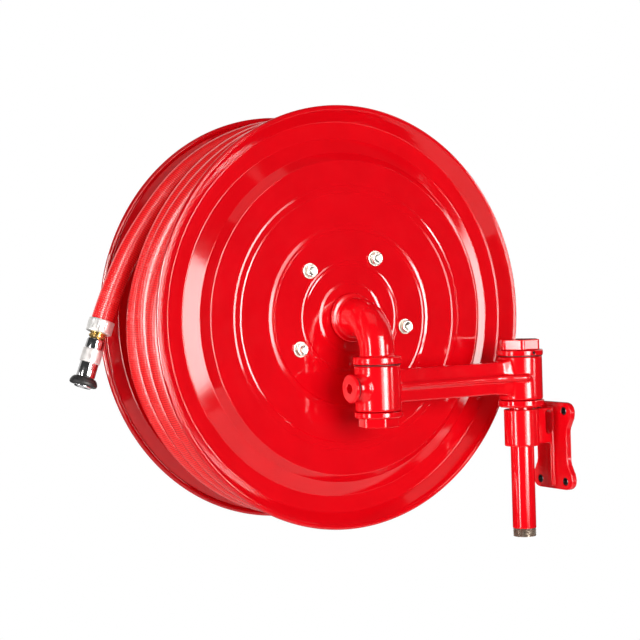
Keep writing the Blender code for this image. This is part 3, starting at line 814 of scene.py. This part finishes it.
def spline_through(knots, spacing):
    """Points at about the given spacing on a Catmull-Rom curve from the second knot to the last but one."""
    points = []
    for a, b, c, d in zip(knots, knots[1:], knots[2:], knots[3:]):
        count = max(1, round((c - b).length / spacing))
        for step in range(count):
            t = step / count
            points.append(0.5 * (2 * b + (c - a) * t + (2 * a - 5 * b + 4 * c - d) * t**2
                                 + (3 * b - a - 3 * c + d) * t**3))
    points.append(knots[-2])
    return points


def hose_route():
    """The whole centre line in the row frame, in metres."""
    wound = wound_hose()
    free = [Vector((x, y, -TAIL_DEPTH)) for x, y in FREE_HOSE]
    knots = [wound[-5], wound[-1]] + free + [2 * free[-1] - free[-2]]
    points = wound[:-1] + spline_through(knots, 10.0)
    for _ in range(6):
        tail = range(len(points) - 34, len(points) - 1)
        for i in tail:
            points[i] = points[i] * 0.5 + (points[i - 1] + points[i + 1]) * 0.25
    return [DRUM @ (point * MM) for point in points]


def build_hose():
    route = hose_route()
    mesh = swept("hose", route, [HOSE_DIAMETER / 2 * MM] * len(route), 28)
    hose = piece("wound_hose", mesh, Matrix(), "drum", HOSE_COVER, ["hose_winding", "hose_tail"])
    return hose, route


def build_nozzle():
    """The ferrule crimped on the hose, the brass body, and the twist sleeve with its rubber ring."""
    def crimped(angle):
        return 18.0 - 0.5 * max(0.0, math.cos(12 * angle)) ** 6

    rings = [(16.0, 0), (17.6, 0), (18.0, -0.5), (18.0, -2.6), (crimped, -3.4), (crimped, -12.6)]
    rings += [(18.0, -13.4), (18.0, -16.2), (17.7, -17.2), (16.4, -18), (12.2, -18), (12.2, -13), (16.0, -13)]
    ferrule = polar("crimped_ferrule", rings, 192, closed=True)
    outline = [(0, -9), (11.0, -9), (11.8, -10.4, 0.4), (11.8, -19, 0.6), (10.4, -20, 0.5), (10.4, -21, 0.5),
               (11.8, -22, 0.6), (11.8, -24, 0.8), (9, -27, 1.0), (9, -52, 0.2), (6.8, -52, 0.2),
               (6.8, -56, 0.2), (9, -56, 0.2), (9, -74, 0.5), (5, -74, 0.3), (5, -12, 0.3), (0, -12)]
    body = turned("nozzle_body", outline, closed=False)

    def fluted(angle):
        return 12.9 - 0.22 * (0.5 + 0.5 * math.cos(12 * angle)) ** 2

    rings = [(9.8, -27.5), (11.6, -27.5), (12.2, -27.7), (12.5, -28.4), (12.6, -29.2), (fluted, -30.4)]
    rings += [(fluted, -39.4), (12.6, -40.6), (12.6, -61.4), (fluted, -62.6), (fluted, -78.6), (12.6, -79.8)]
    rings += [(12.5, -80.6), (12.2, -81.3), (11.6, -81.5), (9.8, -81.5)]
    sleeve = polar("fluted_sleeve", rings, 192, closed=True)
    outline = [(12.7, -41.2, 0.2), (13.3, -41.3, 0.4), (14.0, -42.6, 0.8), (14.0, -59.4, 0.8),
               (13.3, -60.7, 0.4), (12.7, -60.8, 0.2)]
    band = turned("satin_band", outline, 128)
    outline = [(12.4, -81.8, 0.2), (15.0, -81.8, 0.4), (17.6, -84.6, 1.4), (19.2, -88.4, 1.2),
               (19.2, -91.2, 1.0), (17.4, -92.8, 1.0), (12.4, -92.8, 0.2)]
    bumper = turned("bumper_ring", outline, 128)
    outline = [(4, -81.8, 0.2), (12.0, -81.8, 0.2), (12.0, -94.0, 0.8), (10.5, -95.6, 0.8), (6, -95.6, 0.8),
               (4, -92, 0.5)]
    tip = turned("spray_tip", outline)
    return [
        piece("crimped_ferrule", ferrule, NOZZLE, "drum", ALUMINIUM, ["hose_ferrule"]),
        piece("nozzle_neck", body, NOZZLE, "drum", BRASS, ["nozzle_body"]),
        piece("twist_sleeve", sleeve, NOZZLE, "nozzle", CHROME, ["nozzle_sleeve"]),
        piece("twist_sleeve_band", band, NOZZLE, "nozzle", SATIN_CHROME, ["nozzle_sleeve"]),
        piece("rubber_bumper", bumper, NOZZLE, "nozzle", RUBBER, ["nozzle_bumper"]),
        piece("spray_tip", tip, NOZZLE, "nozzle", CHROME, ["nozzle_tip"]),
    ]


# ----------------------------------------------------------------- the drum


def disc_outline():
    """A pressed disc: raised centre, three shallow beads, a deep valley and a rolled rim.

    Radius and height in front of the rim's plane, down the front and back along the inside.
    """
    field = 6.0
    sheet = 1.6
    front = [(26, field + 0.7), (47, field + 0.7, 4), (51, field, 4)]
    front += [(72.6, field, 1), (74.6, field + 0.45, 1), (77.4, field + 0.45, 1), (79.4, field, 1)]
    front += [(121.0, field, 1), (122.8, field + 0.6, 1), (126.0, field + 0.6, 2), (130.4, field, 1)]
    front += [(172.4, field, 1), (174.8, field + 0.5, 1), (182.2, field + 0.5, 1), (184.6, field, 1)]
    front += [(218.5, field, 2), (229.3, -4.5, 2.5), (249.5, -15.6, 3), (272.5, -14.2, 4), (284.6, -1.0, 3)]
    rim_middle = DISC_RADIUS - RIM_RADIUS
    bead = []
    for k in range(19):
        angle = math.radians(150 - 320 * k / 18)
        bead.append((rim_middle + RIM_RADIUS * math.cos(angle), RIM_RADIUS * math.sin(angle)))
    inside = [(286.6, -1.8 - sheet, 2), (272.9, -14.2 - sheet, 4), (249.2, -15.6 - sheet, 4)]
    inside += [(228.6, -4.7 - sheet, 3), (217.8, field - sheet, 3), (26, field - sheet)]
    return rounded(front + bead + inside, closed=True, steps=6)


def build_discs():
    outline = disc_outline()
    front = polar("front_disc_pressing", outline, 240, closed=True)
    front_disc = piece("front_disc_pressing", front, DRUM, "drum", SHEET_ENAMEL, ["front_disc"])
    rear = polar("rear_disc_pressing", outline, 240, closed=True)
    turn_over = Matrix.Translation((0, 0, -DISC_SPACING * MM)) @ Matrix.Rotation(math.pi, 4, "X")
    rear_disc = piece("rear_disc_pressing", rear, DRUM @ turn_over, "drum", SHEET_ENAMEL, ["rear_disc"])
    cap = [(0, -191), (27.5, -191), (30.4, -188.6, 1), (30.4, -183.6, 0.3), (34, -183.6, 0.5),
           (34, -185.0, 0.6), (32.6, -188.8, 2), (29.0, -192.6, 2.5), (12, -193.5, 2), (0, -193.5)]
    mesh = polar("pressed_end_cap", rounded(cap), 128)
    piece("pressed_end_cap", mesh, DRUM, "drum", SHEET_ENAMEL, ["hub_end_cap"])
    return [front_disc, rear_disc]


def bolt_mesh():
    """A hexagon bolt: chamfered head with a shallow dish, a washer face, and its shank below zero."""
    outline = hexagon(18.5, 0.0, 0.25)
    top = 6.4
    flat = 7.9

    def chamfer(back):
        return lambda angle: top - max(0.0, outline(angle) - back - flat) * 0.55

    rings = [(0, top - 0.5), (4.6, top - 0.5), (5.4, top - 0.1), (5.9, top), (7.6, top), (flat, top - 0.05)]
    rings += [(shrunk(outline, 0.15), chamfer(0.15)), (outline, lambda angle: chamfer(0)(angle) - 0.25)]
    rings += [(outline, 0.9), (shrunk(outline, 0.2), 0.62), (8.0, 0.6), (7.9, 0.3), (7.7, 0.0)]
    rings += [(5.3, 0.0), (5.0, -0.3), (5.0, -14.2), (4.2, -15.0), (0, -15.0)]
    return polar("hexagon_bolt", rings, 96)


def washer_mesh():
    """A stamped washer: one edge rolled by the punch, the other crisp."""
    outline = [(5.6, 1.6, 0.2), (10.95, 1.6, 0.55), (10.95, 0, 0.15), (5.6, 0, 0.2)]
    return turned("stamped_washer", outline, 72)


def build_bolts():
    """Five bolts and washers on each disc, each at its own clocking."""
    bolt = bolt_mesh()
    washer = washer_mesh()
    to_drum = DRUM.inverted()
    for side, flip in (("front", 0.0), ("rear", math.pi)):
        for number in range(1, 6):
            for kind, mesh, thickness in (("bolt", bolt, 6.4), ("washer", washer, 1.6)):
                low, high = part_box(f"{side}_{kind}_{number}")
                outer_face = low.y if side == "front" else high.y
                spot = to_drum @ Vector(((low.x + high.x) / 2, outer_face, (low.z + high.z) / 2))
                clocking = Matrix.Rotation(math.radians(37 * number + 11), 4, "Z")
                seat = Matrix.Translation((0, 0, -thickness * MM))
                place = DRUM @ Matrix.Translation(spot) @ Matrix.Rotation(flip, 4, "X") @ seat @ clocking
                name = f"{side}_disc_{kind}_{number}"
                piece(name, mesh, place, "drum", ZINC, [f"{side}_{kind}_{number}"])


# --------------------------------------------------------- arm and its pivots


def beam_section(x, tall, ridge, edge):
    """One section of the arm's beam: tapered faces above and below its middle."""
    near = [(-edge, tall), (-ridge, 3), (-ridge, -3), (-edge, -tall)]
    outline = near + [(-y, -z) for y, z in near]
    return [(x, y, z + WATERWAY) for y, z in outline]


def build_arm():
    """The double-barrelled arm as one casting, with a rib along each side that runs onto the barrel."""
    left = -ARM_REACH
    beam = lofted("beam", [
        beam_section(left + 6, 23.5, 14.5, 10.5),
        beam_section(left + 34, 22.5, 13.0, 9.5),
        beam_section(-50, 22.5, 13.0, 9.5),
        beam_section(-38, 23.5, 14.5, 11.0),
        beam_section(-28, 26.0, 18.0, 15.0),
        beam_section(-20, 28.0, 21.0, 18.0),
        beam_section(-8, 28.5, 24.0, 21.0),
    ])
    ribs = []
    for side in (-1, 1):
        knots = [(left - 6, 12.0), (left + 20, 12.0), (-110, 12.0), (-60, 12.6), (-43, 16.6), (-29, 23.6),
                 (-16, 29.2), (-6, 31.6), (4, 32)]
        route = spline_through([Vector((x, y * side, WATERWAY)) * MM for x, y in knots], 3.0 * MM)
        radii = [5.0 * MM] * (len(route) - 3) + [4.4 * MM, 3.6 * MM, 2.2 * MM]
        ribs.append((swept("rib", route, radii, 16), Matrix()))
    to_left = Matrix.Translation((left * MM, 0, 0))
    plug_place = Matrix.Translation((left * MM, 0, WATERWAY * MM)) @ Matrix.Rotation(-math.pi / 2, 4, "Y")
    across = Matrix.Translation((0, 0, WATERWAY * MM)) @ Matrix.Rotation(math.pi / 2, 4, "Y")
    boss = polar("boss", [(0, 38), (17.2, 38), (18.4, 33), (22.5, 27), (22.5, 14), (0, 14)], 96)
    barrel = bar_solid(BARREL_RADIUS, BARREL_TOP, BARREL_BOTTOM)
    bore = bar_solid(BARREL_BORE, BARREL_TOP + 8, BARREL_BOTTOM - 8)
    arm = joined(
        "swing_arm_casting",
        [(beam, Matrix()), (barrel, Matrix()), (barrel.copy(), to_left), (boss, plug_place)] + ribs,
        [(bore, Matrix()), (bore.copy(), to_left), (bar_solid(10.4, 50, 15), plug_place),
         (bar_solid(10, -22, left + 22), across)],
        voxel=1.1,
    )
    piece("swing_arm_casting", arm, PIVOT, "arm", CAST_ENAMEL, ["swing_arm"])
    outline = [(10.6, 40.3, 0.3), (17.4, 40.3, 0.5), (17.4, 38.4, 0.5), (10.6, 38.4, 0.3)]
    gasket = turned("plug_gasket", outline)
    piece("plug_gasket", gasket, PIVOT @ plug_place, "arm", RUBBER, ["arm_plug_washer"])
    outline = [(0, 45.5), (8.6, 45.5, 0.8), (18.0, 45.5, 1.3), (19.5, 44.0, 1.0), (19.5, 40.7, 0.5),
               (10, 40.7, 0.3), (10, 25), (0, 25)]
    plug = turned("waterway_plug", outline, closed=False)
    key = hexagon(14.7, 20, 0.3)
    socket = polar("socket", [(0, 50), (key, 50), (key, 36), (0, 36)], 96)
    plug = joined("waterway_plug", [(plug, Matrix())], [(socket, Matrix())])
    piece("waterway_plug", plug, PIVOT @ plug_place, "arm", SHEET_ENAMEL, ["arm_plug"])


def thrust_ring():
    """The thin ring that a barrel turns against."""
    outline = [(20.6, -63.15, 0.2), (32.2, -63.15, 0.3), (32.2, -64.25, 0.3), (20.6, -64.25, 0.2)]
    return turned("thrust_ring", outline, 128)


def build_elbow():
    """The elbow casting with its flange and collar, and the ring and nut under the barrel."""
    bend = 42.6
    route = [Vector((0, RIM_TO_SWIVEL - 9, 0)), Vector((0, RIM_TO_SWIVEL - 16, 0))]
    for k in range(17):
        turn = math.radians(90 + 90 * k / 16)
        route.append(Vector((0, bend + bend * math.cos(turn), bend * math.sin(turn) - bend)))
    route += [Vector((0, 0, -48)), Vector((0, 0, -56))]
    widths = [26.6, 26.6] + [26.5 - 0.18 * k for k in range(17)] + [23.5, 23.5]
    pipe = swept("elbow", [point * MM for point in route], [width * MM for width in widths], 96)
    journal = polar("journal", [(0, -40), (20, -40), (20, -52.0), (31.6, -52.0), (COLLAR_RADIUS, -53.4),
                                (COLLAR_RADIUS, -62.6), (20, -62.6), (20, -126.7), (16, -126.7),
                                (16, -146.5), (0, -146.5)], 128)
    facing_reel = Matrix.Translation((0, RIM_TO_SWIVEL * MM, 0)) @ Matrix.Rotation(math.pi / 2, 4, "X")
    flange = polar("flange", [(0, 17.5), (27.0, 17.5), (28.0, 15.2), (34, 14.4), (34, 8.3), (0, 8.3)], 128)
    socket = bar_solid(20.4, 40.3, 0)
    elbow = joined(
        "hub_elbow_casting",
        [(pipe, Matrix()), (journal, Matrix()), (flange, facing_reel)],
        [(socket, facing_reel)],
        voxel=1.0,
        smoothing=6,
    )
    piece("hub_elbow_casting", elbow, SWIVEL, "elbow", CAST_ENAMEL, ["hub_elbow"])
    piece("swivel_thrust_ring", thrust_ring(), SWIVEL, "elbow", NYLON, ["swivel_thrust_washer"])
    ring = [(16.5, -127.0, 0.4), (32.2, -127.0, 0.8), (COLLAR_RADIUS, -127.8, 0.6),
            (COLLAR_RADIUS, -133.6, 1.2), (31.6, -135.0, 1.0), (16.5, -135.0, 0.4)]
    piece("swivel_ring", turned("swivel_ring", ring, 128), SWIVEL, "elbow", SHEET_ENAMEL, ["swivel_collar"])
    rings = hex_rings(hexagon(57.0, 15), -135.3, -148.0, 1.0) + [(16.5, -148.0), (16.5, -135.3)]
    nut = polar("swivel_lock_nut", rings, 120, closed=True)
    piece("swivel_lock_nut", nut, SWIVEL, "elbow", SHEET_ENAMEL, ["swivel_nut"])


def build_pivot():
    """The pivot's cap, collar, grub screw, thrust ring and the spindle's foot."""
    rings = [(0, -40.9), (12, -40.5)] + hex_rings(hexagon(61.0, 0), -40.5, -55.0, 1.0)
    rings += [(16.5, -55.0), (16.5, -46.0), (0, -46.0)]
    cap = polar("pivot_hexagon_cap", rings, 120)
    piece("pivot_hexagon_cap", cap, PIVOT, "bracket", SHEET_ENAMEL, ["pivot_cap"])
    outline = [(16.5, -55.3, 0.4), (31.8, -55.3, 1.2), (COLLAR_RADIUS, -56.5, 1.0),
               (COLLAR_RADIUS, -62.2, 0.6), (32.4, -62.8, 0.4), (16.5, -62.8, 0.4)]
    facing_front = Matrix.Translation((0, 0, -59.0 * MM)) @ Matrix.Rotation(math.pi / 2, 4, "X")
    collar = joined("pivot_collar_ring", [(turned("collar", outline, 128), Matrix())],
                    [(bar_solid(2.8, 40, 10, 32), facing_front)])
    piece("pivot_collar_ring", collar, PIVOT, "bracket", SHEET_ENAMEL, ["pivot_collar"])
    key = hexagon(2.4, 0, 0.05)
    screw = [(0, 28.2), (key, 28.2), (key, 31.0), (1.9, 31.2), (2.4, 30.7), (2.4, 17.6)]
    screw += [(1.6, 17.0), (0, 17.0)]
    piece("collar_grub_screw", polar("grub_screw", screw, 48), PIVOT @ facing_front, "bracket", DARK_STEEL,
          ["pivot_grub_screw"])
    piece("pivot_thrust_ring", thrust_ring(), PIVOT, "bracket", NYLON, ["pivot_thrust_washer"])
    outline = [(0, -46.3), (15.6, -46.3), (16.0, -46.8, 0.3), (16.0, -62.9, 0.2), (20.0, -62.9, 0.3),
               (20.0, -127.0, 0.2), (32.0, -127.0, 0.8), (COLLAR_RADIUS, -128.0, 0.8),
               (COLLAR_RADIUS, -134.6, 1.6), (30.0, -137.0, 1.6), (17.4, -137.0, 0.4), (17.4, -118.0, 0.3),
               (12.0, -118.0, 0.3), (12.0, -78.0, 0.3), (0, -78.0)]
    spindle = turned("pivot_spindle_foot", outline, 128, closed=False)
    piece("pivot_spindle_foot", spindle, PIVOT, "bracket", SHEET_ENAMEL, ["pivot_spindle"])


def plate_points():
    """The wall plate's outline, (across, up): four rounded lugs and a narrower waist."""
    turns = [math.radians(degrees) for degrees in range(90, -1, -15)]
    lug = [(30 + 14 * math.cos(turn), 49 + 14 * math.sin(turn)) for turn in turns]
    quarter = lug + [(42.6, 41), (38.4, 33), (34.4, 26), (33.0, 18)]
    right = quarter + [(y, -z) for y, z in reversed(quarter)]
    return right + [(-y, -z) for y, z in right]


def slot_points(middle, half_width, low, high):
    """An upright slot with round ends, (across, up)."""
    points = []
    for end, start in ((high - half_width, 0), (low + half_width, 180)):
        for k in range(9):
            turn = math.radians(start + 180 * k / 8)
            points.append((middle + half_width * math.cos(turn), end + half_width * math.sin(turn)))
    return points


def build_bracket():
    """The wall bracket as one casting, with dark sleeves in its bolt holes as painted shade."""
    axis_height = joint_place("arm_swing").z / MM
    to_pivot = Matrix.Translation(joint_place("arm_swing"))
    plate = lofted("plate", [[(x, y, z) for y, z in plate_points()] for x in (-9.0, 0.0)])
    sleeve = bar_solid(SLEEVE_RADIUS, SLEEVE_TOP, SLEEVE_BOTTOM)
    web_top = SLEEVE_TOP + axis_height - 1
    web_bottom = SLEEVE_BOTTOM + axis_height + 1
    web = box_solid("web", (-53, -5, web_bottom), (-5, 5, web_top))
    slot = slot_points(-17, 6, web_top - 38, web_top - 3)
    cutters = [
        (bar_solid(17.2, SLEEVE_TOP + 5, SLEEVE_BOTTOM - 5), to_pivot),
        (lofted("slot", [[(x, y, z) for x, z in slot] for y in (-8, 8)]), Matrix()),
    ]
    through_plate = Matrix.Rotation(math.pi / 2, 4, "Y")
    for y, z in PLATE_HOLES:
        place = Matrix.Translation((0, y * MM, z * MM)) @ through_plate
        cutters.append((bar_solid(5.75, 12, -12, 48), place))
    rib = box_solid("rib", (-15, -5, -58), (-5, 5, web_bottom + 2))
    bracket = joined("wall_bracket_casting", [(plate, Matrix()), (sleeve, to_pivot), (web, Matrix()),
                                              (rib, Matrix())], cutters, voxel=1.0, smoothing=6)
    casting = piece("wall_bracket_casting", bracket, Matrix(), "bracket", CAST_ENAMEL, ["wall_bracket"])
    # Near-black steel sleeves inside the bolt holes are painted shade: they darken the holes.
    wall = turned("hole_shade_sleeve", [(5.0, 8.2, 0.2), (5.65, 8.2, 0.2), (5.65, 0.4, 0.2), (5.0, 0.4, 0.2)], 48)
    for number, (y, z) in enumerate(PLATE_HOLES, 1):
        place = Matrix.Translation((0, y * MM, z * MM)) @ Matrix.Rotation(-math.pi / 2, 4, "Y")
        piece(f"plate_hole_shade_sleeve_{number}", wall, place, "bracket", DARK_STEEL)
    return casting


def build_inlet():
    """The inlet pipe with its bare thread."""
    thread_length = 12.0
    thread_top = PIPE_END + thread_length
    pitch = 2.309
    bore = 13.6
    paint = [(bore, -118.3, 0.3), (PIPE_RADIUS, -118.3, 0.3), (PIPE_RADIUS, thread_top, 0.6),
             (PIPE_RADIUS - 0.9, thread_top, 0.2), (bore, thread_top)]
    pipe = turned("inlet_pipe", paint, 96)
    piece("inlet_pipe_painted", pipe, PIVOT, "bracket", SHEET_ENAMEL, ["inlet_pipe"])

    def thread_at(height):
        """A whitworth thread's radius at a height, running out at both ends."""
        deep = 1.0 * eased((height - PIPE_END) / 1.2)

        def radius(angle):
            phase = (height / pitch - angle / (2 * math.pi)) % 1.0
            ridge = 0.5 + 0.5 * math.cos(2 * math.pi * phase)
            return PIPE_RADIUS - 0.35 - deep * (1 - ridge) - 0.5 * (1 - deep)

        return radius

    steps = 60
    heights = [thread_top + 0.3 - (thread_length + 0.3) * k / steps for k in range(steps + 1)]
    rings = [(bore, heights[0])] + [(thread_at(height), height) for height in heights] + [(bore, PIPE_END)]
    thread = polar("inlet_thread", rings, 96, closed=True)
    piece("inlet_thread", thread, PIVOT, "bracket", BARE_THREAD)


# -------------------------------------------------------- what stays from CAD


CARRIED = {
    "pivot_seal_upper": RUBBER,
    "pivot_seal_lower": RUBBER,
    "swivel_seal_upper": RUBBER,
    "swivel_seal_lower": RUBBER,
    "hub_seal_front": RUBBER,
    "hub_seal_rear": RUBBER,
    "nozzle_seal": RUBBER,
    "hub_spindle": STEEL,
    "spindle_washer": STEEL,
    "spindle_circlip": STEEL,
    "hub_bush_front": BRONZE,
    "hub_bush_rear": BRONZE,
    "hose_outlet": BRASS,
    "hose_clamp": ZINC,
    "drum_core": SHEET_ENAMEL,
    "hub_housing": CAST_ENAMEL,
}


def dress_carried_nodes():
    """Gives the inner CAD nodes that stay their finishes."""
    for name, material in CARRIED.items():
        mesh = frame["nodes"][name].data
        mesh.materials.clear()
        mesh.materials.append(material)


def main():
    bpy.context.scene.view_settings.view_transform = "Standard"
    add_camera()
    hose, route = build_hose()
    fittings = build_nozzle()
    discs = build_discs()
    build_bolts()
    build_arm()
    build_elbow()
    build_pivot()
    bracket = build_bracket()
    build_inlet()
    dress_carried_nodes()
    add_floor()
    add_lights(discs, hose, bracket)
    add_surroundings()


main()
